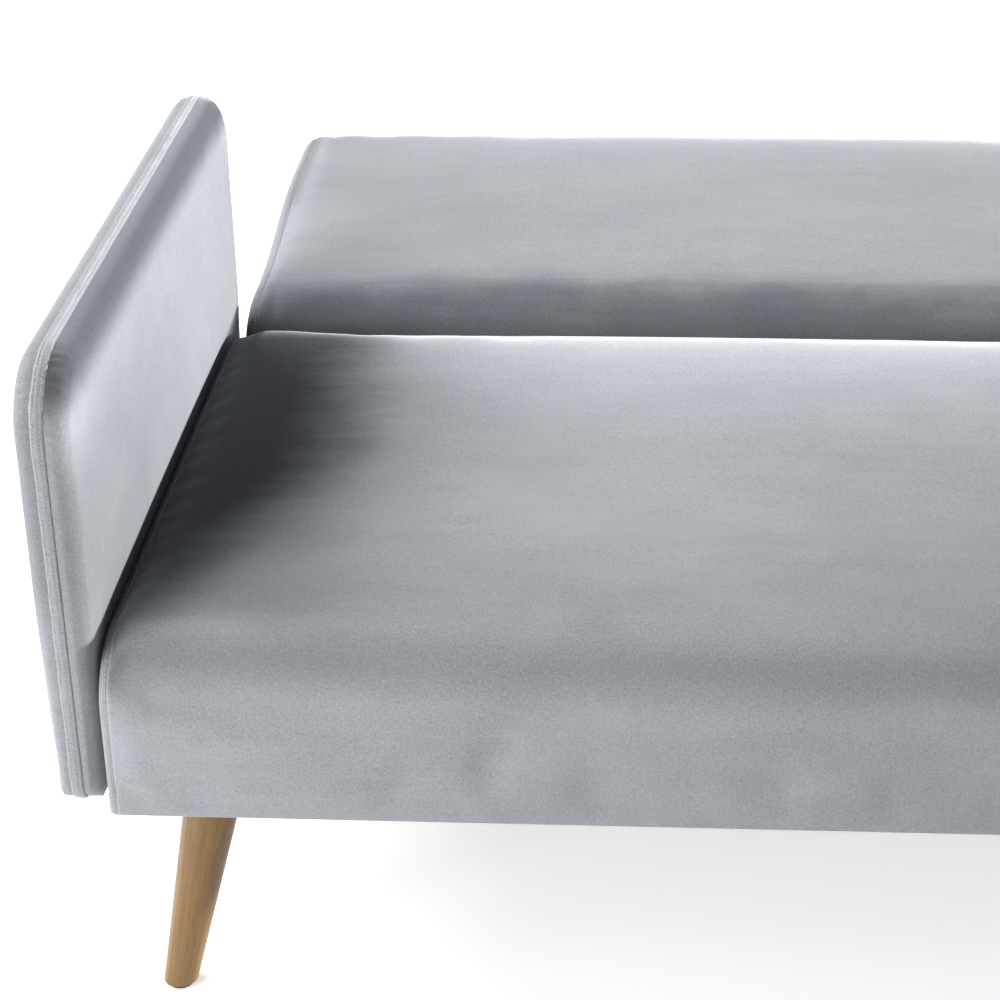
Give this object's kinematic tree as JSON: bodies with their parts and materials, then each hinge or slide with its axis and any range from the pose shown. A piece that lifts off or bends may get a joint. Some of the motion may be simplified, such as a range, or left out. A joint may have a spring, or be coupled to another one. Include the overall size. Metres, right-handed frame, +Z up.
{
  "type": "sofa bed",
  "caption": "Velvet sofa bed shown folded flat: seat block on splayed wooden legs, upholstered side arms, and a back on ratchet hinges with a swinging stand.",
  "frame": {"origin": "on the floor, under the middle of the flat bed's outer box", "axes": "+X across the bed to the right seen from the front, +Y from the front edge to the far edge of the flat back, +Z up"},
  "size_m": [1.866, 1.122, 0.556],
  "materials": {
    "velvet": "satin",
    "foam": "matte",
    "felt": "matte",
    "dust_cloth": "matte",
    "frame_wood": "matte",
    "leg_wood": "satin",
    "zinc_steel": "satin",
    "black_tube": "satin",
    "rubber": "matte"
  },
  "bodies": {
    "base": {"seat_front_rail": "frame_wood", "seat_rear_rail": "frame_wood", "seat_left_rail": "frame_wood", "seat_right_rail": "frame_wood", "seat_cross_rails": "frame_wood", "seat_corner_blocks": "frame_wood", "seat_slats": "frame_wood", "seat_felt": "felt", "seat_foam": "foam", "seat_edge_pads": "foam", "seat_cover": "velvet", "seat_side_panels": "velvet", "seat_dust_cloth": "dust_cloth", "leg_front_left": "leg_wood", "leg_front_right": "leg_wood", "leg_rear_left": "leg_wood", "leg_rear_right": "leg_wood", "leg_plates": "zinc_steel", "leg_bolts": "zinc_steel", "leg_plate_screws": "zinc_steel", "leg_glides": "rubber", "arm_board_left": "frame_wood", "arm_board_right": "frame_wood", "arm_foam_left": "foam", "arm_foam_right": "foam", "arm_inner_cover_left": "velvet", "arm_inner_cover_right": "velvet", "arm_outer_cover_left": "velvet", "arm_outer_cover_right": "velvet", "arm_edge_strips": "velvet", "arm_bolts": "zinc_steel", "arm_washers": "zinc_steel", "seat_hinge_plate_left": "zinc_steel", "seat_hinge_plate_right": "zinc_steel", "ratchet_wheels": "zinc_steel", "hinge_pins": "zinc_steel", "seat_hinge_bolts": "zinc_steel"},
    "back": {"back_front_rail": "frame_wood", "back_far_rail": "frame_wood", "back_left_rail": "frame_wood", "back_right_rail": "frame_wood", "back_cross_rails": "frame_wood", "back_slats": "frame_wood", "back_felt": "felt", "back_foam": "foam", "back_end_pads": "foam", "back_cover": "velvet", "back_side_panels": "velvet", "back_dust_cloth": "dust_cloth", "back_hinge_plate_left": "zinc_steel", "back_hinge_plate_right": "zinc_steel", "back_hinge_bolts": "zinc_steel", "pawl_springs": "zinc_steel", "stand_bearings": "black_tube", "stand_bearing_screws": "zinc_steel"},
    "pawl_left": {"pawl_left": "zinc_steel"},
    "pawl_right": {"pawl_right": "zinc_steel"},
    "stand": {"stand_axle": "black_tube", "stand_legs": "black_tube", "stand_foot_caps": "rubber"}
  },
  "joints": [
    {"name": "back_recline", "type": "hinge", "parent": "base", "child": "back", "pos_m": [0, 0.095, 0.282], "axis": [1, 0, 0], "range_deg": [0, 78]},
    {"name": "stand_fold", "type": "hinge", "parent": "back", "child": "stand", "pos_m": [0, 0.441, 0.176], "axis": [-1, 0, 0], "range_deg": [0, 80]},
    {"name": "pawl_left_lift", "type": "hinge", "parent": "back", "child": "pawl_left", "pos_m": [-0.87585, 0.15286, 0.28605], "axis": [-1, 0, 0], "range_deg": [0, 12], "stiffness_Nm_per_rad": 0.05, "springref_deg": -17.19, "deforming": ["pawl_springs"]},
    {"name": "pawl_right_lift", "type": "hinge", "parent": "back", "child": "pawl_right", "pos_m": [0.87585, 0.15286, 0.28605], "axis": [-1, 0, 0], "range_deg": [0, 12], "stiffness_Nm_per_rad": 0.05, "springref_deg": -17.19, "deforming": ["pawl_springs"]}
  ]
}
